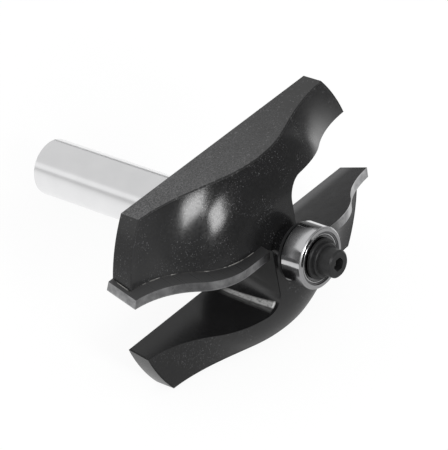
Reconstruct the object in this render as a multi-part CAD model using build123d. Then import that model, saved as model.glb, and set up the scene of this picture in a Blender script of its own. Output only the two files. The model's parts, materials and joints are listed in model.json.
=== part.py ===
from build123d import *
import os
from math import atan2, cos, pi, sin, sqrt, tan

# Rabbeting and profiling router bit: a ground shank, a milled head with two wings
# and two chip limiters, two brazed carbide tips, and a guide bearing on a pilot.
# All lengths are millimetres. Each piece is modelled standing in the tool frame:
# Z runs along the tool axis from the back face of the head to the bearing, and
# the left wing points along -X. At the end the tool is laid down as it rests, on the
# back edge of its lower flat and the end of its shank, with +Z up.

# Shank
shank_diameter = 12.0
shank_length = 50.0
shank_chamfer = 1.0
neck_radius = 1.5

# Milled head
body_diameter = 68.0
body_height = 14.4          # back face to the flat round the hub
rim_thickness = 4.5
flat_distance = 20.0        # tool axis to each long flat
body_bead_start = 10.0      # radius where the front starts to fall away
body_bead_radius = 17.0
body_cove_radius = 19.0

# Gullets, whose walls lean by the shear angle
shear_angle = 15.4
rake_height = 6.03          # tool axis to the rake plane, at the back face
gullet_width = 14.15        # rake plane to the chip limiter behind it
root_distance = 3.8         # tool axis to the floor of the gullet
rake_root_radius = 1.5
limiter_root_radius = 4.0

# Carbide tips
cutting_diameter = 70.0
tip_thickness = 2.0
tip_height = 16.1           # back face to the flat inner end of the edge
tip_rim_height = 6.35       # back face to the edge where it runs out level
tip_overhang = 0.75         # how far the tip passes the back face
tip_inner_end = 6.6         # tool axis to the inner end of the tip
edge_bead_start = 12.6
edge_bead_radius = 14.2
edge_cove_radius = 19.8
side_relief = 0.43          # fall of the outer face over the tip's thickness
front_relief = 0.25         # fall of the front face over the tip's thickness

# Hub and pilot
hub_diameter = 8.8
hub_height = 2.9
pilot_shortfall = 0.3       # end of the pilot inside the bearing's front face
pilot_clearance = 0.01

# Rear washer, with a boss that meets the inner ring alone
rear_washer_diameter = 11.8
rear_washer_thickness = 0.6
rear_boss_diameter = 6.6
rear_boss_height = 0.4
rear_washer_clearance = 0.05

# Guide bearing
bearing_diameter = 12.7
bearing_bore = 4.7625
bearing_width = 4.978
bearing_chamfer = 0.3
inner_land_diameter = 7.1
outer_land_diameter = 10.3
ball_diameter = 2.381
ball_count = 7
race_conformity = 1.04      # groove radius over ball radius
cage_thickness = 0.9
cage_width = 3.0
cage_clearance = 0.05
shield_diameter = 10.9
shield_thickness = 0.2
shield_recess = 0.25
shield_lip_gap = 0.15
shield_clearance = 0.02

# Stepped front washer
washer_diameter = 8.4
washer_thickness = 0.6
washer_step_diameter = 7.0
washer_step_height = 0.8
washer_chamfer = 0.15
washer_clearance = 0.1

# Socket cap screw
screw_diameter = 3.0
screw_length = 10.0
screw_head_diameter = 5.7
screw_head_height = 3.0
screw_head_chamfer = 0.3
socket_width = 2.5
socket_depth = 1.6
socket_point_angle = 60.0   # half angle of the cone at the bottom of the socket
screw_clearance = 0.03
hole_extra_depth = 1.5
drill_point_angle = 59.0    # half angle of the drill

# Amount by which cutting volumes pass the faces that they cut
overcut = 2.0

# Places along the tool axis
hub_end = body_height + hub_height
rear_washer_end = hub_end + rear_washer_thickness
bearing_back = rear_washer_end + rear_boss_height
bearing_middle = bearing_back + bearing_width / 2
bearing_front = bearing_back + bearing_width
washer_step_start = bearing_front + washer_thickness
screw_seat = washer_step_start + washer_step_height
screw_top = screw_seat + screw_head_height
pilot_end = bearing_front - pilot_shortfall
screw_end = screw_seat - screw_length

# Sizes that follow from others
shear = shear_angle * pi / 180
pilot_diameter = bearing_bore - 2 * pilot_clearance
pitch_radius = (inner_land_diameter + outer_land_diameter) / 4
groove_radius = race_conformity * ball_diameter / 2
cutting_reach = cutting_diameter

# The rake plane of the left wing: x outward, y along the wing, z into the wing
rake_plane = Plane(origin=(0, rake_height, 0), x_dir=(-1, 0, 0), z_dir=(0, cos(shear), sin(shear)))

# The tool leans back until the end of its shank meets the table, with the shank along +Y
lying_angle = atan2(flat_distance - shank_diameter / 2, shank_length - shank_chamfer)
lying = Plane(origin=(0, 0, 0), x_dir=(1, 0, 0), z_dir=(0, -cos(lying_angle), sin(lying_angle)))


def rod(diameter, start, end):
    """Round bar on the tool axis, from one height to another."""
    bar = Cylinder(diameter / 2, end - start, align=(Align.CENTER, Align.CENTER, Align.MIN))
    return Pos(0, 0, start) * bar


def ring(outer, inner, start, end):
    """Flat ring on the tool axis."""
    return rod(outer, start, end) - rod(inner, start - overcut, end + overcut)


def on_circle(centre, radius, angle):
    """Point at an angle on a circle."""
    return (centre[0] + radius * cos(angle), centre[1] + radius * sin(angle))


def ogee_waste(height, rim, bead_start, bead_radius, cove_radius, reach):
    """Region in front of an ogee: level, a bead, a tangent cove and level again."""
    bead = (bead_start, height - bead_radius)
    drop = rim + cove_radius - bead[1]
    span = bead_radius + cove_radius
    cove = (bead_start + sqrt(span**2 - drop**2), rim + cove_radius)
    lean = atan2(drop, cove[0] - bead[0])
    turn = on_circle(bead, bead_radius, lean)
    bead_middle = on_circle(bead, bead_radius, (lean + pi / 2) / 2)
    cove_middle = on_circle(cove, cove_radius, lean / 2 - 3 * pi / 4)
    far = cove[0] + reach
    top = height + reach
    with BuildSketch() as region:
        with BuildLine():
            Line((0, top), (0, height))
            Line((0, height), (bead_start, height))
            ThreePointArc((bead_start, height), bead_middle, turn)
            ThreePointArc(turn, cove_middle, (cove[0], rim))
            Line((cove[0], rim), (far, rim))
            Line((far, rim), (far, top))
            Line((far, top), (0, top))
        make_face()
    return region.sketch


def neck():
    """Filleted ring that blends the shank into the back face."""
    inner = shank_diameter / 2
    outer = inner + neck_radius
    middle = on_circle((outer, -neck_radius), neck_radius, 3 * pi / 4)
    with BuildSketch() as section:
        with BuildLine():
            Line((inner, 0), (inner, -neck_radius))
            ThreePointArc((inner, -neck_radius), middle, (outer, 0))
            Line((outer, 0), (inner, 0))
        make_face()
    return revolve(Plane.XZ * section.sketch, Axis.Z)


def turned_head():
    """Head as it leaves the lathe, with its ogee front and its hub."""
    waste = ogee_waste(
        body_height, rim_thickness, body_bead_start, body_bead_radius, body_cove_radius, body_diameter
    )
    blank = rod(body_diameter, 0, body_height) - revolve(Plane.XZ * waste, Axis.Z)
    return blank + rod(hub_diameter, 0, hub_end)


def gullet():
    """Space milled in front of the left wing, with a rounded floor."""
    reach = cutting_reach
    block = Box(reach, 2 * reach, gullet_width, align=(Align.MIN, Align.CENTER, Align.MAX))
    block = Pos(root_distance, 0, 0) * block
    floor = block.edges().filter_by(Axis.Y).group_by(Axis.X)[0].sort_by(Axis.Z)
    block = fillet(floor[-1], rake_root_radius)
    floor = block.edges().filter_by(Axis.Y).filter_by(GeomType.LINE).group_by(Axis.X)[0].sort_by(Axis.Z)
    return rake_plane * fillet(floor[0], limiter_root_radius)


def tip_seat():
    """Recess in the left wing that takes the carbide tip."""
    reach = cutting_reach
    depth = tip_thickness + overcut
    recess = Box(reach, 2 * reach, depth, align=(Align.MIN, Align.CENTER, Align.MIN))
    return rake_plane * Pos(tip_inner_end, 0, -overcut) * recess


def drifted(region, depth):
    """Oblique prism of waste, which falls away behind the rake face by the relief."""
    drift = Vector(-side_relief, -front_relief, tip_thickness)
    start = Vector(0, 0, 0) - drift * (overcut / tip_thickness)
    length = drift.length * (depth + 2 * overcut) / tip_thickness
    return extrude(Pos(*start) * region, amount=length, dir=drift)


def edge_side():
    """Region outside the tip, bounded by the cutting circle in the rake plane."""
    heights = (-tip_overhang - overcut, tip_rim_height + overcut)
    reach = cutting_diameter / 2
    near = []
    for height in heights:
        along = height / cos(shear)
        lift = rake_height - along * sin(shear)
        near.append((sqrt(reach**2 - lift**2), along))
    far = reach + cutting_reach
    with BuildSketch() as region:
        with BuildLine():
            Line(near[0], (far, near[0][1]))
            Line((far, near[0][1]), (far, near[1][1]))
            Line((far, near[1][1]), near[1])
            Line(near[1], near[0])
        make_face()
    return region.sketch


def left_tip():
    """Carbide tip of the left wing, ground to its profile with relief."""
    width = cutting_diameter / 2 - tip_inner_end + overcut
    back = -tip_overhang / cos(shear)
    height = tip_height / cos(shear) - back + overcut
    blank = Box(width, height, tip_thickness, align=(Align.MIN, Align.MIN, Align.MIN))
    blank = Pos(tip_inner_end, back, 0) * blank
    front = ogee_waste(
        tip_height / cos(shear),
        tip_rim_height / cos(shear),
        edge_bead_start,
        edge_bead_radius,
        edge_cove_radius,
        cutting_diameter,
    )
    ground = blank - drifted(front, tip_thickness) - drifted(edge_side(), tip_thickness)
    return rake_plane * ground


def half_turn(shape):
    """The same shape on the other wing."""
    return Rot(0, 0, 180) * shape


def cutter_body():
    """Shank, milled head, hub and drilled pilot, in one piece."""
    head = turned_head() & Box(2 * cutting_reach, 2 * flat_distance, 2 * cutting_reach)
    for cut in (gullet(), tip_seat()):
        head = head - cut - half_turn(cut)
    shank = rod(shank_diameter, -shank_length, 0)
    shank = chamfer(shank.edges().group_by(Axis.Z)[0], shank_chamfer)
    pilot = rod(pilot_diameter, 0, pilot_end)
    return head + shank + neck() + pilot - screw_hole()


def screw_hole():
    """Tapping hole for the cap screw, with the drill's pointed end."""
    radius = screw_diameter / 2 + screw_clearance
    bottom = screw_end - hole_extra_depth
    point = radius / tan(drill_point_angle * pi / 180)
    cone = Cone(0.0, radius, point, align=(Align.CENTER, Align.CENTER, Align.MAX))
    return rod(2 * radius, bottom, pilot_end + overcut) + Pos(0, 0, bottom) * cone


def rear_washer():
    """Spacer behind the bearing, whose boss keeps the outer ring free."""
    bore = pilot_diameter + 2 * rear_washer_clearance
    disc = ring(rear_washer_diameter, bore, hub_end, rear_washer_end)
    return disc + ring(rear_boss_diameter, bore, rear_washer_end, bearing_back)


def race():
    """Round groove in which the balls run."""
    return Pos(0, 0, bearing_middle) * Torus(pitch_radius, groove_radius)


def bearing_inner_ring():
    """Inner ring, clamped between the washers."""
    body = ring(inner_land_diameter, bearing_bore, bearing_back, bearing_front)
    return body - race()


def bearing_outer_ring():
    """Outer ring, which rolls on the template."""
    blank = rod(bearing_diameter, bearing_back, bearing_front)
    blank = chamfer(blank.edges().filter_by(GeomType.CIRCLE), bearing_chamfer)
    blank = blank - rod(outer_land_diameter, bearing_back - overcut, bearing_front + overcut) - race()
    depth = shield_recess + shield_thickness
    front = rod(shield_diameter, bearing_front - depth, bearing_front + overcut)
    rear = rod(shield_diameter, bearing_back - overcut, bearing_back + depth)
    return blank - front - rear


def bearing_ball(number):
    """One ball of the ring of balls."""
    ball = Pos(pitch_radius, 0, bearing_middle) * Sphere(ball_diameter / 2)
    return Rot(0, 0, 360 * number / ball_count) * ball


def bearing_cage():
    """Cage that keeps the balls apart, with a round pocket for each."""
    middle = 2 * pitch_radius
    start = bearing_middle - cage_width / 2
    cage = ring(middle + cage_thickness, middle - cage_thickness, start, start + cage_width)
    pocket = Rot(0, 90, 0) * Cylinder(ball_diameter / 2 + cage_clearance, cage_thickness + overcut)
    for number in range(ball_count):
        cage -= Rot(0, 0, 360 * number / ball_count) * Pos(pitch_radius, 0, bearing_middle) * pocket
    return cage


def bearing_shield(start):
    """Thin shield seated in the outer ring, clear of the inner one."""
    outer = shield_diameter - 2 * shield_clearance
    inner = inner_land_diameter + 2 * shield_lip_gap
    return ring(outer, inner, start, start + shield_thickness)


def front_washer():
    """Stepped washer under the screw's head."""
    bore = screw_diameter + 2 * washer_clearance
    flange = rod(washer_diameter, bearing_front, washer_step_start)
    flange = chamfer(flange.edges().group_by(Axis.Z)[-1], washer_chamfer)
    step = rod(washer_step_diameter, bearing_front, screw_seat)
    step = chamfer(step.edges().group_by(Axis.Z)[-1], washer_chamfer)
    return flange + step - rod(bore, bearing_front - overcut, screw_seat + overcut)


def cap_screw():
    """Socket cap screw that holds the bearing on the pilot."""
    head = rod(screw_head_diameter, screw_seat, screw_top)
    head = chamfer(head.edges().group_by(Axis.Z)[-1], screw_head_chamfer)
    corner = socket_width / sqrt(3)
    hexagon = Pos(0, 0, screw_top) * RegularPolygon(corner, 6)
    socket = extrude(hexagon, amount=-socket_depth)
    point = corner / tan(socket_point_angle * pi / 180)
    cone = Cone(0.0, corner, point, align=(Align.CENTER, Align.CENTER, Align.MAX))
    cone = Pos(0, 0, screw_top - socket_depth) * cone
    socket = socket + (cone & extrude(hexagon, amount=-screw_head_height))
    return head - socket + rod(screw_diameter, screw_end, screw_seat)


def pieces():
    """Every piece of the tool, by name."""
    tip = left_tip()
    found = {
        "cutter_body": cutter_body(),
        "carbide_tip_left": tip,
        "carbide_tip_right": half_turn(tip),
        "rear_washer": rear_washer(),
        "bearing_inner_ring": bearing_inner_ring(),
        "bearing_outer_ring": bearing_outer_ring(),
        "bearing_cage": bearing_cage(),
        "bearing_rear_shield": bearing_shield(bearing_back + shield_recess),
        "bearing_front_shield": bearing_shield(bearing_front - shield_recess - shield_thickness),
        "front_washer": front_washer(),
        "cap_screw": cap_screw(),
    }
    for number in range(ball_count):
        found[f"bearing_ball_{number + 1}"] = bearing_ball(number)
    return found


def at_rest(shapes):
    """The pieces as the tool lies, with the origin on the table below the middle of its box."""
    laid = {name: lying * shape for name, shape in shapes.items()}
    boxes = [shape.bounding_box() for shape in laid.values()]
    middle_x = (min(box.min.X for box in boxes) + max(box.max.X for box in boxes)) / 2
    middle_y = (min(box.min.Y for box in boxes) + max(box.max.Y for box in boxes)) / 2
    table = min(box.min.Z for box in boxes)
    return {name: Pos(-middle_x, -middle_y, -table) * shape for name, shape in laid.items()}


os.makedirs("parts", exist_ok=True)
for name, shape in at_rest(pieces()).items():
    export_step(shape, f"parts/{name}.step")
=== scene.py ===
# %% [markdown]
# # Router bit: finishes, light and camera
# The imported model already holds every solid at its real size: the head with its shank, two carbide
# tips, two washers, the guide bearing and the cap screw. This lesson dresses it. It starts by
# loading that model as a frame that nothing here may move, and it measures the box to stay in.

# %% Load the frame
import bpy
import json
from math import cos, degrees, pi, radians, sin
from mathutils import Matrix, Vector
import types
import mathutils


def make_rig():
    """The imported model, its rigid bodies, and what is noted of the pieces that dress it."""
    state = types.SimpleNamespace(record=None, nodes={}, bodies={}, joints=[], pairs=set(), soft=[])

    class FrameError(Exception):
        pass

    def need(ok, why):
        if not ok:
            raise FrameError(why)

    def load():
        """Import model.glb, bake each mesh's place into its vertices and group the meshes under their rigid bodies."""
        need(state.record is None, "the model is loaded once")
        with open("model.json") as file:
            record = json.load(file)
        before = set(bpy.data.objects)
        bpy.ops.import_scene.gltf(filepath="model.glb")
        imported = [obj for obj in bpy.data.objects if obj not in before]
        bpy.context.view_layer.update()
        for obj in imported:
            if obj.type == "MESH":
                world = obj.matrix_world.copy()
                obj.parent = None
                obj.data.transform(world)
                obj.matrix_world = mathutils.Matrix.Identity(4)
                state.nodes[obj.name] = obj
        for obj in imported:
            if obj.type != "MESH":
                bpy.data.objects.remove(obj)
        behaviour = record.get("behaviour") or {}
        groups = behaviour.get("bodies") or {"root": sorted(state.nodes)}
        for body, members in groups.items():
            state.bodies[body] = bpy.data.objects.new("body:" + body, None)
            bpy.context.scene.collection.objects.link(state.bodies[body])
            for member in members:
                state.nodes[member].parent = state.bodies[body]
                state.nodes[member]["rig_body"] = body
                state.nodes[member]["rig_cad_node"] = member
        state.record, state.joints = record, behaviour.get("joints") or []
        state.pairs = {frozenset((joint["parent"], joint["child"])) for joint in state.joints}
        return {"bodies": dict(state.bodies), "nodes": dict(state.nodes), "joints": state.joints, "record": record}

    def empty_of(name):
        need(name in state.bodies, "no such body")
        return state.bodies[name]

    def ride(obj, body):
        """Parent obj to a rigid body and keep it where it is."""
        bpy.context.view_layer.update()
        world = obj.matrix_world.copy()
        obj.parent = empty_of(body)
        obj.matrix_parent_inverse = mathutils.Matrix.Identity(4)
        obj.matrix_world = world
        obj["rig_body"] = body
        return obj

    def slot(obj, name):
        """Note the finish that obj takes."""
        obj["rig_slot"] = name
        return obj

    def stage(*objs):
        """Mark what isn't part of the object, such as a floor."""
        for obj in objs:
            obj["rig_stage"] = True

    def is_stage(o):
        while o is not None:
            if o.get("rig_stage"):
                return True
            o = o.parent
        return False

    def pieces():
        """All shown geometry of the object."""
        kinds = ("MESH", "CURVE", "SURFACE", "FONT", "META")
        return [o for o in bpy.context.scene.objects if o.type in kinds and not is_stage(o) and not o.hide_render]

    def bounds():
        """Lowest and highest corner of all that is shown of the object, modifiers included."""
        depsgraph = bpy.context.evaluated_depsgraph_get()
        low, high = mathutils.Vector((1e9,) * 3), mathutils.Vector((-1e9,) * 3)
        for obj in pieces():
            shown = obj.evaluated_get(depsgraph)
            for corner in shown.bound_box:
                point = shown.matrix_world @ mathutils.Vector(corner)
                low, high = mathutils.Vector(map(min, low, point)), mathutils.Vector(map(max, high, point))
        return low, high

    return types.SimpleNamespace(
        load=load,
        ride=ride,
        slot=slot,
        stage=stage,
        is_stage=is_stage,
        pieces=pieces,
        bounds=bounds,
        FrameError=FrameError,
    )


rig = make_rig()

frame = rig.load()
nodes = frame["nodes"]
cad_box = [list(corner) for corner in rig.bounds()]
bpy.ops.object.select_all(action="DESELECT")
print("nodes", len(nodes), "box", cad_box)

# %% [markdown]
# Most finishes on this tool follow its turning axis, which leans a little because the tool lies on
# the back edge of its lower flat. The bearing's hinge gives a point on that axis and its direction,
# so both are read from the record and not typed again. Heights along the axis count from the rear
# face of the head, positive towards the bearing, whose middle stands at the one height given here.

# %% The tool's own axis
spin = frame["joints"][0]
bearing_centre = Vector(spin["pos_m"])
forward = Vector(spin["axis"]).normalized()
side = Vector((1, 0, 0))
upward = forward.cross(side)
if upward.z < 0:
    upward.negate()
bearing_height = 0.020789
rear_face = bearing_centre - forward * bearing_height
print("axis", tuple(forward), "up across it", tuple(upward), "rear face", tuple(rear_face))

# %% [markdown]
# The camera looks at the tool from the front left and from above, with a long lens, so parallel
# edges stay nearly parallel. Its right and up directions are given, and the third follows from
# them: a camera looks along its own minus Z.

# %% Camera
def place_camera(location, right, up, lens):
    """Adds the scene's camera from its place, two of its directions and its focal length."""
    right = Vector(right).normalized()
    up = (Vector(up) - right * Vector(up).dot(right)).normalized()
    turn = Matrix((right, up, right.cross(up))).transposed()
    data = bpy.data.cameras.new("camera")
    data.sensor_width = 36
    data.lens = lens
    data.clip_start = 0.05
    data.clip_end = 20
    camera = bpy.data.objects.new("camera", data)
    camera.matrix_world = Matrix.Translation(location) @ turn.to_4x4()
    bpy.context.scene.collection.objects.link(camera)
    bpy.context.scene.camera = camera
    return camera


camera = place_camera(
    location=(-0.3423, -0.26921, 0.42725),
    right=(0.64373, -0.76335, 0.05375),
    up=(0.50235, 0.47452, 0.72282),
    lens=238.89,
)
bpy.context.scene.view_settings.view_transform = "Standard"
print("camera at", tuple(camera.location), "lens", camera.data.lens)

# %% [markdown]
# A material in Blender is a graph of nodes, and arithmetic drawn as nodes is hard to read. The
# small class below wraps one socket, so that a sum or a product of sockets can be written as a
# plain expression, and each operator adds its Math node. The second class makes any other node in
# one call, and the distances that it gives to a mask are in millimetres. A short function at the end
# puts the finished material on its piece.

# %% Sockets as numbers, and a maker of nodes
class Value:
    """One output socket that can be used in arithmetic."""

    def __init__(self, tree, socket):
        self.tree = tree
        self.socket = socket

    def math(self, operation, *others):
        """Adds a Math node on this value and the others, which are values or plain numbers."""
        node = self.tree.nodes.new("ShaderNodeMath")
        node.operation = operation
        for place, item in enumerate((self,) + others):
            if isinstance(item, Value):
                self.tree.links.new(item.socket, node.inputs[place])
            else:
                node.inputs[place].default_value = item
        return Value(self.tree, node.outputs[0])

    def __add__(self, other):
        return self.math("ADD", other)

    def __sub__(self, other):
        return self.math("SUBTRACT", other)

    def __mul__(self, other):
        return self.math("MULTIPLY", other)

    def __rsub__(self, other):
        return (self * -1) + other

    def above(self, limit, blur):
        """0 below the limit and 1 above it, with a soft step as wide as the blur."""
        return ((self - limit) * (1 / blur) + 0.5).math("MAXIMUM", 0.0).math("MINIMUM", 1.0)

    def below(self, limit, blur):
        """1 below the limit and 0 above it, with the same soft step."""
        return 1 - self.above(limit, blur)


class Finish:
    """The nodes of a new material, or of a tree that is given, and short ways to add the usual ones."""

    def __init__(self, name, tree=None):
        if tree is None:
            self.material = bpy.data.materials.new(name)
            self.material.use_nodes = True
            tree = self.material.node_tree
        self.tree = tree
        self.tree.nodes.clear()

    def node(self, kind, settings=(), inputs=()):
        """Adds a node, sets its settings first and then its sockets, by value or by link."""
        node = self.tree.nodes.new(kind)
        for key, value in dict(settings).items():
            setattr(node, key, value)
        for key, value in dict(inputs).items():
            socket = node.inputs[key]
            if isinstance(value, Value):
                value = value.socket
            if isinstance(value, bpy.types.NodeSocket):
                self.tree.links.new(value, socket)
            else:
                socket.default_value = value
        return node

    def value(self, node, output=0):
        """One output of a node, ready for arithmetic."""
        return Value(self.tree, node.outputs[output])

    def place(self):
        """Where the shaded point lies, in metres in the object's own space."""
        return self.node("ShaderNodeTexCoord").outputs["Object"]

    def vector(self, operation, first, second):
        """Adds a vector sum, product or distance."""
        return self.node("ShaderNodeVectorMath", {"operation": operation}, {0: first, 1: second})

    def along(self, direction, origin):
        """Distance in millimetres from the origin along a direction."""
        off = self.vector("SUBTRACT", self.place(), origin)
        return self.value(self.vector("DOT_PRODUCT", off.outputs[0], direction), "Value") * 1000

    def away(self, point):
        """Distance in millimetres from a point."""
        return self.value(self.vector("DISTANCE", self.place(), point), "Value") * 1000

    def noise(self, size, detail=2.0, rough=0.5, vector=None):
        """Noise from 0 to 1 whose blobs are about as large as the size, in millimetres."""
        inputs = {"Vector": vector or self.place(), "Scale": 1000 / size}
        inputs.update({"Detail": detail, "Roughness": rough})
        return self.value(self.node("ShaderNodeTexNoise", {}, inputs), "Fac")

    def stretched(self, x, y, z):
        """A place made of three values, on which noise comes out drawn long."""
        return self.node("ShaderNodeCombineXYZ", {}, {0: x, 1: y, 2: z}).outputs[0]

    def mix(self, factor, first, second):
        """Blends two colours by a factor."""
        node = self.node("ShaderNodeMix", {"data_type": "RGBA"}, {"Factor": factor, 6: first, 7: second})
        return node.outputs[2]

    def bump(self, height, strength, distance):
        """Turns a height from 0 to 1 into a normal; the distance is in metres."""
        inputs = {"Height": height, "Strength": strength, "Distance": distance}
        return self.node("ShaderNodeBump", {}, inputs).outputs[0]

    def output(self, shader):
        """Joins a shader to the output and hands over the finished material."""
        self.node("ShaderNodeOutputMaterial", {}, {"Surface": shader.outputs[0]})
        return self.material

    def surface(self, inputs):
        """Adds the one shader of a solid piece, with its sockets set, and finishes the material."""
        return self.output(self.node("ShaderNodeBsdfPrincipled", {}, inputs))


def wear(piece, material):
    """Gives a piece its one finish."""
    piece.data.materials.clear()
    piece.data.materials.append(material)
    print(piece.name, "wears", material.name)


print("helpers ready:", Value.__name__, Finish.__name__, wear.__name__)

# %% [markdown]
# The surroundings are a white studio: a light wall behind the tool and a darker room in front,
# where the lamp stands. The camera sees plain white everywhere. Polished surfaces see the wall, which
# on the left has a bright band low down and under it a dim strip where the wall meets the table, and
# they see the dark room, because steel looks like steel only when it has something dark to show as
# well. Light that falls on dull surfaces comes evenly from all round, at a level at which a colour
# looks about as written. Each edge below is a pair: where it lies, as a share of a direction whose
# length is 1, and how wide it is blurred.

# %% World
def rays(tree):
    """Masks for the camera's rays and for rays that come off, or through, a polished surface."""
    path = tree.nodes.new("ShaderNodeLightPath")
    names = ("Is Camera Ray", "Is Glossy Ray", "Is Transmission Ray")
    camera_ray, glossy_ray, transmission_ray = (Value(tree, path.outputs[name]) for name in names)
    return camera_ray, glossy_ray.math("MAXIMUM", transmission_ray)


world_fill = 0.72
wall_light, band_light, strip_light, room_light = 0.76, 1.0, 0.62, 0.16
band_top, band_foot = (0.26, 0.04), (0.04, 0.03)
left_edge, room_edge = (-0.1, 0.2), (-0.05, 0.4)
world = bpy.data.worlds.new("studio")
world.use_nodes = True
bpy.context.scene.world = world
studio = Finish("studio", world.node_tree)
direction = studio.node("ShaderNodeTexCoord").outputs["Generated"]
compass = studio.node("ShaderNodeSeparateXYZ", {}, {0: direction})
east, north, height = (studio.value(compass, axis) for axis in range(3))
on_left = east.below(*left_edge)
band = on_left * height.below(*band_top)
wall = band * (band_light - wall_light) + wall_light
wall_and_strip = wall - on_left * height.below(*band_foot) * (wall - strip_light)
in_room = north.below(*room_edge)
polished_view = wall_and_strip * (1 - in_room) + in_room * room_light
to_camera, to_polish = rays(world.node_tree)
grey = to_camera + (1 - to_camera) * (to_polish * polished_view + (1 - to_polish) * world_fill)
backdrop = studio.node("ShaderNodeBackground", {}, {"Color": grey, "Strength": 1.0})
studio.node("ShaderNodeOutputWorld", {}, {"Surface": backdrop.outputs[0]})
print("wall", wall_light, "band", band_light, "strip", strip_light, "room", room_light, "fill", world_fill)

# %% [markdown]
# The floor is a large pale sheet. To the camera it is mostly a white glow, so that it stays white
# up to the frame's edge, and a part of it is plain dull white that still takes the tool's soft
# shadow. To polished surfaces the sheet round the tool is as white, with a brighter patch on the
# right where the lamp's light pools. It grows dim further out: slowly on the left, as far as the dim
# strip of the wall, and much more on the right and in front. Each fade is a pair of millimetres: the
# place of its middle and its width.

# %% Floor
floor_size, floor_drop = 6, 0.00002
floor_light, far_light = 1.05, 0.16
front_dimming, patch_gain = 0.66, 0.9
left_fade, right_fade, side_fade = (100, 120), (122, 44), (0, 60)
front_fade, corner_fade, patch_fade = (-16, 16), (28, 12), (50, 50)
origin, bright_middle, lit_place = (0, 0, 0), (0.03, 0.03, 0), (0.165, -0.025, 0)
bpy.ops.mesh.primitive_plane_add(size=floor_size, location=(0, 0, -floor_drop))
floor = bpy.context.object
floor.name = "floor"
sheet = Finish("floor_white")
span = sheet.away(bright_middle)
leftward = sheet.along((1, 0, 0), origin).below(*side_fade)
dim_left = span.above(*left_fade) * leftward * (floor_light - strip_light)
dim_right = span.above(*right_fade) * (1 - leftward) * (floor_light - far_light)
in_front = sheet.along((0, 1, 0), origin).below(*front_fade)
in_front = in_front * sheet.along((1, 0.5, 0), origin).below(*corner_fade)
dimmed = (dim_left + dim_right).math("MAXIMUM", in_front * front_dimming)
lit_patch = sheet.away(lit_place).below(*patch_fade)
to_camera, to_polish = rays(sheet.tree)
brightness = floor_light - (1 - to_camera) * (dimmed - lit_patch * patch_gain)
glow = sheet.node("ShaderNodeEmission", {}, {"Color": brightness, "Strength": 1.0})
dull = sheet.node("ShaderNodeBsdfDiffuse", {}, {"Color": (0.85, 0.85, 0.85, 1)})
glow_share = to_camera * 0.86 + to_polish * (1 - to_camera) * 0.92
blend = sheet.node("ShaderNodeMixShader", {}, {0: glow_share, 1: dull.outputs[0], 2: glow.outputs[0]})
wear(floor, sheet.output(blend))
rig.stage(floor)
bpy.ops.object.select_all(action="DESELECT")

# %% [markdown]
# One soft lamp stands in front, a little to the left of the tool's axis and a third of the way up.
# It is what draws the two long highlights on the curved face of the left wing: the hollow and the
# swelling part of the curve each show one image of it. It is rolled a little, so that they lean.

# %% Lamps
lamp_target = Vector((0, -0.01, 0.02))


def lamp(name, azimuth, elevation, roll, distance, width, height, watts):
    """Adds a rectangular lamp that faces the tool, at a direction counted from minus Y towards minus X."""
    a, e = radians(azimuth), radians(elevation)
    away = Vector((-sin(a) * cos(e), -cos(a) * cos(e), sin(e)))
    data = bpy.data.lights.new(name, "AREA")
    data.shape = "RECTANGLE"
    data.size = width
    data.size_y = height
    data.energy = watts
    light = bpy.data.objects.new(name, data)
    place = Matrix.Translation(lamp_target + away * distance)
    facing = away.to_track_quat("Z", "Y").to_matrix().to_4x4()
    light.matrix_world = place @ facing @ Matrix.Rotation(radians(roll), 4, "Z")
    bpy.context.scene.collection.objects.link(light)
    print(name, "radiance about", round(watts / (pi * width * height), 1))


lamp(
    "front_lamp",
    azimuth=14,
    elevation=32,
    roll=12,
    distance=1.2,
    width=0.30,
    height=0.42,
    watts=5.4,
)

# %% [markdown]
# The head is black: a tough dark coating, satin, with a fine grain and a dust of small grey specks.
# Its two flats are scuffed a little lighter, and its edges are dulled and chipped here and there.
# A painted sheen lightens the outer part of each curved face.
# The head looks the same after half a turn, so every mark is placed once, in a half of the head,
# and counts for both: how far it rises towards its flat, and how far it reaches to the gullet's side.
# The gullets' faces lean along the axis by the shear angle. The face across from a tip stands off the
# axis by the last measure, taken square to the face.

# %% Marks of the coating
flat_height = 20.0
rim_radius = 34.0
neck_width = 4.0
shear = radians(15.4)
chip_face = 8.34


def place_on_head(finish):
    """Millimetres along the axis, rising to the nearer flat, reaching to its gullet, and off the axis."""
    along, across, aside = (finish.along(way, rear_face) for way in (forward, upward, side))
    half = across.math("SIGN")
    radius = (across * across + aside * aside).math("SQRT")
    return along, across * half, aside * half, radius


def dust(finish, along, rise, reach):
    """Small specks in drifts, with none on the side of each gullet that faces a tip."""
    specks = finish.noise(0.26, detail=1.0).above(0.67, 0.05)
    drifts = finish.noise(5.0, detail=2.0).above(0.5, 0.12)
    towards_face = rise * cos(shear) - along * sin(shear)
    chip_side = reach.above(2.0, 2.0) * towards_face.below(chip_face + 0.11, 0.1)
    return specks * drifts * (1 - chip_side)


def scuffs(finish, flat, cloud, reach):
    """Fine rubbing on the flats, stronger towards the end where the tip is."""
    stipple = finish.noise(0.3, detail=2.0, rough=0.7).above(0.55, 0.3)
    return flat * (stipple + cloud * 0.4 - 0.05) * (0.75 - reach * 0.035).math("MAXIMUM", 0.0)


def neck_side_painted_light(along, rise, reach):
    """Where painted light lifts the upright wall of each gullet, beside the neck."""
    off = reach.math("ABSOLUTE")
    wall_side = off.above(neck_width - 0.4, 0.2) * off.below(neck_width + 0.4, 0.6)
    return wall_side * rise.below(9.5, 1.0) * along.below(14.2, 0.2)


print("flats at", flat_height, "rim at", rim_radius, "gullet sides lean", round(degrees(shear), 1))
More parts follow.
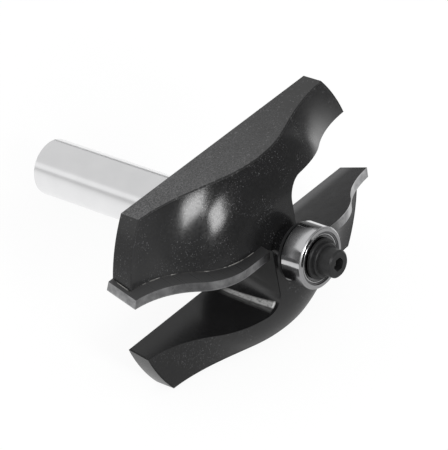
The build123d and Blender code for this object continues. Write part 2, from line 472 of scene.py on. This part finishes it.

# %% [markdown]
# At the root of each gullet a streak of painted highlight stands for the light that the rounded
# corner catches. It follows the rounded corner, which drifts inwards on its way to the bearing, and
# scratches run along it. Beside it lies a faint fringe of the same painted highlight, and a painted
# glint marks its end. The masks are products of soft steps, because a streak is only a place with two sides and two
# ends.

# %% Painted highlight streak in the gullet
streak_low, streak_high = 8.9, 12.4
streak_start, streak_end = 3.0, 13.4
streak_reach, streak_drift = 8.0, 0.216
core_from, core_to = -0.42, 0.45
fringe_from, fringe_to = 0.3, 1.3


def gullet_root_highlight(finish, along, rise, reach):
    """The strength of the painted highlight streak with its fringe, and the mask of its core alone."""
    beside = reach + along * streak_drift - streak_reach
    root = rise.above(streak_low, 0.3) * rise.below(streak_high, 0.3)
    root = root * along.above(streak_start, 2.5) * along.below(streak_end, 0.3)
    highlight_core = root * beside.above(core_from, 0.3) * beside.below(core_to, 0.3)
    highlight_fringe = root * beside.above(fringe_from, 0.4) * beside.below(fringe_to, 0.8)
    pits = finish.noise(0.7, detail=2.0).above(0.6, 0.1)
    aside, across = finish.along(side, rear_face), finish.along(upward, rear_face)
    strand = finish.stretched(along * 0.0002, aside * 0.003, across * 0.003)
    lines = finish.noise(1.0, detail=3.0, vector=strand).above(0.5, 0.4)
    return highlight_core * (lines * 0.4 + 0.55) * (1 - pits * 0.5) + highlight_fringe * (lines * 0.1 + 0.06), highlight_core


print("streak from", streak_start, "to", streak_end, "rising", streak_low, "to", streak_high)

# %% [markdown]
# The head is one piece with the shank, which is bare steel, ground round and bright. So one material
# holds both, and a mask on the height along the axis chooses between them. Colours are laid over
# each other as washes are, from the even coating to the painted highlight and glint at the gullets' roots.

# %% Head and shank
coating_dark, coating_light = (0.006, 0.006, 0.0063, 1), (0.018, 0.018, 0.0185, 1)
scuff_grey, painted_sheen_grey, neck_painted_light_grey = (0.15, 0.15, 0.153, 1), (0.07, 0.07, 0.071, 1), (0.12, 0.12, 0.12, 1)
chip_grey, dust_grey = (0.2, 0.2, 0.2, 1), (0.16, 0.16, 0.165, 1)
# the two colours of the painted highlight and painted glint at each gullet root
painted_highlight_grey, painted_glint_white = (0.74, 0.74, 0.73, 1), (0.95, 0.95, 0.95, 1)
shank_dark, shank_light = (0.76, 0.76, 0.77, 1), (0.84, 0.84, 0.845, 1)
shank_start = -1.45


def coat(finish):
    """Colour, roughness, painted root highlight and height of the black coating, with its flats and gullet roots."""
    along, rise, reach, radius = place_on_head(finish)
    flat, rim = rise.above(flat_height - 0.05, 0.04), radius.above(rim_radius - 0.05, 0.04)
    curved = (1 - flat) * (1 - rim)
    near_edge = rise.above(flat_height - 0.35, 0.2).math("MAXIMUM", radius.above(rim_radius - 0.4, 0.2))
    grain = finish.noise(0.3, detail=3.0, rough=0.6)
    cloud = finish.noise(7.0, detail=3.0)
    mottle = finish.noise(0.5, detail=3.0, rough=0.7).above(0.5, 0.4) * (1 - flat)
    chips = rise.above(flat_height - 0.6, 0.3) * finish.noise(0.6, detail=2.0).above(0.68, 0.06)
    streak, highlight_core = gullet_root_highlight(finish, along, rise, reach)
    shade = finish.mix(cloud * 0.5 + mottle * 0.5, coating_dark, coating_light)
    for strength, colour in (
        (scuffs(finish, flat, cloud, reach) * 0.6, scuff_grey),
        # painted sheen: the outer part of each curved face is lightened
        (reach.below(-20, 14) * curved * 0.25, painted_sheen_grey),
        # painted light on the upright wall beside each neck
        (neck_side_painted_light(along, rise, reach) * 0.4, neck_painted_light_grey),
        (chips * 0.5, chip_grey),
        (dust(finish, along, rise, reach) * 0.5, dust_grey),
        # painted highlight along each gullet root, then a painted glint at its end
        (streak, painted_highlight_grey),
        (highlight_core * along.above(streak_end - 0.35, 0.15), painted_glint_white),
    ):
        shade = finish.mix(strength, shade, colour)
    roughness = mottle * 0.10 + 0.14 + flat * 0.16 + curved * near_edge * 0.5
    return shade, roughness, streak, grain


def ground_steel(finish):
    """Colour, roughness and height of the ground shank: fine rings round the axis."""
    height, aside, across = (finish.along(way, rear_face) for way in (forward, side, upward))
    drawn = finish.stretched(height * 0.009, aside * 0.00006, across * 0.00006)
    rings = finish.noise(1.0, detail=4.0, rough=0.7, vector=drawn)
    stain = finish.noise(5.0, detail=3.0)
    return finish.mix(stain, shank_dark, shank_light), rings * 0.08 + 0.12, rings


head = Finish("coated_head_and_ground_shank")
black, black_roughness, root_highlight, grain = coat(head)
bright, bright_roughness, rings = ground_steel(head)
on_shank = head.along(forward, rear_face).below(shank_start, 0.1)
relief = head.bump(grain * (1 - on_shank) + rings * on_shank, 0.25, 0.00002)
coated_and_ground = head.surface(
    {
        "Base Color": head.mix(on_shank, black, bright),
        "Metallic": on_shank.math("MAXIMUM", root_highlight * 0.25),
        "Roughness": black_roughness * (1 - on_shank) + bright_roughness * on_shank,
        "IOR": 1.5,
        "Normal": relief,
    }
)
wear(nodes["cutter_body"], coated_and_ground)

# %% [markdown]
# Each tip is tungsten carbide, brazed to its wing and then ground with a fine wheel, so its front
# and the narrow faces behind its edge are a clean grey metal. Its back was coated together with the
# head. The masks follow the distance behind the cutting face, which leans as the gullets' faces do.
# In the hollow of the curve the ground metal is painted darker, as painted shade of the dark that it
# mirrors there, most of all on the right tip.

# %% Carbide tips
rake_height = 0.00603
tip_thickness = 2.0
outer_start, outer_end = -28, -33.9
hollow_start, hollow_end = 9.8, 13.6
hollow_shade_strength = {1: 0.4, -1: 0.9}
ground_dark, ground_light = (0.20, 0.20, 0.205, 1), (0.46, 0.46, 0.465, 1)
hollow_shade_grey = (0.1, 0.1, 0.103, 1)
lapped_dark, lapped_light = (0.02, 0.02, 0.021, 1), (0.24, 0.24, 0.245, 1)
back_inner, back_outer = (0.015, 0.015, 0.0155, 1), (0.055, 0.055, 0.056, 1)


def cutting_face(turn):
    """A point on one tip's cutting face and the way behind it; turn is 1 on the left and -1 on the right."""
    behind = (upward * cos(shear) * turn + forward * sin(shear)).normalized()
    return rear_face + upward * rake_height * turn, behind


def carbide(name, turn):
    """The finish of one tip: lapped in front, ground round its edge, coated on its back."""
    rake_point, behind = cutting_face(turn)
    finish = Finish(name)
    depth, height = finish.along(behind, rake_point), finish.along(forward, rear_face)
    aside = finish.along(side, rear_face)
    outward = aside * turn
    coated, front = depth.above(tip_thickness - 0.05, 0.03), depth.below(0.02, 0.02)
    lines = finish.stretched(aside * 0.004, depth * 0.0004, 0.0)
    scratch = finish.noise(1.0, detail=4.0, rough=0.7, vector=lines)
    patch = finish.noise(2.6, detail=4.0, rough=0.6).above(0.5, 0.3)
    edge = depth.below(0.22, 0.15) * 0.5
    outer = outward.below(outer_start, 5) * outward.above(outer_end, 0.4) * 0.25
    painted_hollow_shade = height.above(hollow_start, 1.0) * height.below(hollow_end, 1.0)
    band = front * height.below(1.9, 2.2)
    ground = finish.mix(patch * 0.8 + edge + outer, ground_dark, ground_light)
    # painted shade in the hollow of the curve, stronger on the right tip
    ground = finish.mix(painted_hollow_shade * hollow_shade_strength[turn], ground, hollow_shade_grey)
    lapped = finish.mix(band * 0.7 + patch * 0.1, lapped_dark, lapped_light)
    back = finish.mix(outward.below(-20, 16), back_inner, back_outer)
    return finish.surface(
        {
            "Base Color": finish.mix(coated, finish.mix(front, ground, lapped), back),
            "Metallic": 1 - coated,
            "Roughness": scratch * 0.2 + 0.2 - front * 0.14,
            "IOR": 1.5,
            "Normal": finish.bump(scratch, 0.2, 0.00001),
        }
    )


wear(nodes["carbide_tip_left"], carbide("ground_carbide_left", 1))
wear(nodes["carbide_tip_right"], carbide("ground_carbide_right", -1))

# %% [markdown]
# Silver braze holds the tips, and a thin bead of it shows where each wing meets the back of its
# tip. It could be swept along a drawn curve, but the joint's line is already in the solid. So a
# copy of the head is cut by the plane of the joint, and bisect throws away both sides and leaves
# the line of the cut. The part of that line along the tip becomes a curve with a round bevel, and
# then a mesh. Flux has left most of the bead dark, and the clean stretches shine.

# %% Braze beads
bead_radius = 0.00011
tip_inner_end = 0.0066
joint_gap = 0.02
same_point, stray_point = 0.000001, 0.00002


def braze_bead(name, turn):
    """The bead behind one tip, cut from a copy of the head; turn is as for the tips."""
    rake_point, behind = cutting_face(turn)
    joint = rake_point + behind * (tip_thickness + joint_gap) / 1000
    bead = nodes["cutter_body"].copy()
    bead.data = bead.data.copy()
    bead.name = name
    bead.parent = None
    bead.data.materials.clear()
    bpy.context.scene.collection.objects.link(bead)
    bpy.context.view_layer.objects.active = bead
    bead.select_set(True)
    bpy.ops.object.mode_set(mode="EDIT")
    bpy.ops.mesh.select_all(action="SELECT")
    bpy.ops.mesh.remove_doubles(threshold=same_point)
    bpy.ops.mesh.select_all(action="SELECT")
    bpy.ops.mesh.bisect(plane_co=joint, plane_no=behind, clear_inner=True, clear_outer=True)
    bpy.ops.mesh.select_all(action="DESELECT")
    bpy.ops.object.mode_set(mode="OBJECT")
    for vertex in bead.data.vertices:
        vertex.select = vertex.co.x * turn > -tip_inner_end
    bpy.ops.object.mode_set(mode="EDIT")
    bpy.ops.mesh.delete(type="VERT")
    bpy.ops.mesh.select_all(action="SELECT")
    bpy.ops.mesh.remove_doubles(threshold=stray_point)
    bpy.ops.object.mode_set(mode="OBJECT")
    print(name, "joint points", len(bead.data.vertices))
    bpy.ops.object.convert(target="CURVE")
    bead.data.bevel_depth = bead_radius
    bead.data.bevel_resolution = 2
    bead.data.use_fill_caps = True
    bpy.ops.object.convert(target="MESH")
    bpy.ops.object.shade_smooth_by_angle(angle=radians(50))
    bead.name = name
    bead.select_set(False)
    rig.ride(bead, "cutter")
    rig.slot(bead, "carbide")
    return bead


dark_flux, clean_braze = (0.03, 0.029, 0.028, 1), (0.46, 0.45, 0.43, 1)


def silver_braze():
    """Silver braze: clean, satin metal in places and dark flux between them."""
    finish = Finish("silver_braze")
    clean = finish.noise(2.2, detail=2.0).above(0.56, 0.12)
    pits = finish.noise(0.2, detail=2.0)
    return finish.surface(
        {
            "Base Color": finish.mix(clean, dark_flux, clean_braze),
            "Metallic": clean,
            "Roughness": pits * 0.2 + 0.3,
            "Normal": finish.bump(pits, 0.3, 0.00002),
        }
    )


braze = silver_braze()
for name, turn in (("braze_bead_left", 1), ("braze_bead_right", -1)):
    bead = braze_bead(name, turn)
    wear(bead, braze)
    print(name, "size in millimetres", [round(side_length * 1000, 1) for side_length in bead.dimensions])

# %% [markdown]
# The bearing's rings are hardened steel, polished like a mirror on the rim, and so are its balls.
# The shields are thin pressed sheet, a little duller, with a bead rolled along the outer edge, whose
# colour is painted far lighter than the sheet as a painted highlight. The cage is hidden behind them,
# and plain. The rings' rounded corners and the shields' bead go round the axis, so they are drawn by
# the distance from it.

# %% Bearing
corner_radius, corner_half, rim_start = 6.2, 0.17, 6.33
bead_middle, bead_half = 4.85, 0.24
ring_dark, ring_light = (0.56, 0.56, 0.57, 1), (0.72, 0.72, 0.73, 1)
shield_dark, shield_tone_and_highlight = (0.14, 0.14, 0.145, 1), (0.86, 0.86, 0.87, 1)
cage_dark, cage_light = (0.48, 0.48, 0.49, 1), (0.62, 0.62, 0.63, 1)


def from_axis(finish):
    """Distance in millimetres from the tool's axis."""
    across, aside = finish.along(upward, rear_face), finish.along(side, rear_face)
    return (across * across + aside * aside).math("SQRT")


def rounded(radius, middle_radius, half_width):
    """A rounded ridge round the axis: 1 along its middle and 0 at its two sides."""
    off = (radius - middle_radius) * (1 / half_width)
    return (1 - off * off).math("MAXIMUM", 0.0)


def ring_steel():
    """Hardened steel, polished, with its chamfers rounded by the polishing."""
    finish = Finish("polished_ring")
    cloud, haze = finish.noise(2.0, detail=3.0), finish.noise(0.5, detail=3.0, rough=0.7)
    radius = from_axis(finish)
    corner = rounded(radius, corner_radius, corner_half) * radius.below(rim_start, 0.02)
    return finish.surface(
        {
            "Base Color": finish.mix(cloud * 0.6 + haze * 0.4, ring_dark, ring_light),
            "Metallic": 1.0,
            "Roughness": cloud * 0.06 + haze * 0.05 + corner * 0.35 + 0.05,
            "Normal": finish.bump(corner, 1.0, 0.00001),
        }
    )


def shield_steel():
    """Pressed sheet, with the bead that is rolled along its outer edge and a painted highlight on that bead."""
    finish = Finish("pressed_shield")
    bead_and_highlight = rounded(from_axis(finish), bead_middle, bead_half)
    cloud = finish.noise(1.2, detail=3.0)
    return finish.surface(
        {
            # the bead is painted light as a painted highlight; the cloud is the sheet's own tone
            "Base Color": finish.mix(bead_and_highlight.math("MAXIMUM", cloud * 0.3), shield_dark, shield_tone_and_highlight),
            "Metallic": 1.0,
            "Roughness": cloud * 0.1 + 0.16,
            "Normal": finish.bump(bead_and_highlight, 1.0, 0.00016),
        }
    )


def cage_steel():
    """Plain steel, with a faint cloud in its colour and its roughness."""
    finish = Finish("caged_steel")
    cloud = finish.noise(1.2, detail=3.0)
    return finish.surface(
        {
            "Base Color": finish.mix(cloud, cage_dark, cage_light),
            "Metallic": 1.0,
            "Roughness": cloud * 0.1 + 0.18,
        }
    )


polished, pressed, caged = ring_steel(), shield_steel(), cage_steel()
for name in nodes:
    if name.startswith("bearing"):
        wear(nodes[name], pressed if "shield" in name else caged if "cage" in name else polished)

# %% [markdown]
# The cap screw and both washers are blackened: a thin oxide that takes the shine off the steel and
# leaves it duller than the head's coating. One fine grain sets both the roughness and the relief.

# %% Screw and washers
oxide_dark, oxide_light = (0.012, 0.012, 0.012, 1), (0.03, 0.03, 0.031, 1)


def black_oxide():
    """Black oxide on steel: dark, with lighter rubbed places."""
    finish = Finish("black_oxide")
    cloud, grain = finish.noise(0.9, detail=3.0), finish.noise(0.12, detail=2.0)
    return finish.surface(
        {
            "Base Color": finish.mix(cloud, oxide_dark, oxide_light),
            "Roughness": grain * 0.15 + 0.3,
            "IOR": 1.45,
            "Normal": finish.bump(grain, 0.25, 0.00001),
        }
    )


oxide = black_oxide()
for name in ("rear_washer", "front_washer", "cap_screw"):
    wear(nodes[name], oxide)

# %% [markdown]
# Last, the box is measured again, and both boxes are written to extents.json. The
# dressed tool has to stay as large as the solids.

# %% Sizes and finish
with open("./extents.json", "w") as out:
    json.dump({"cad": cad_box, "visual": [list(corner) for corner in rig.bounds()]}, out)
print(open("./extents.json").read())
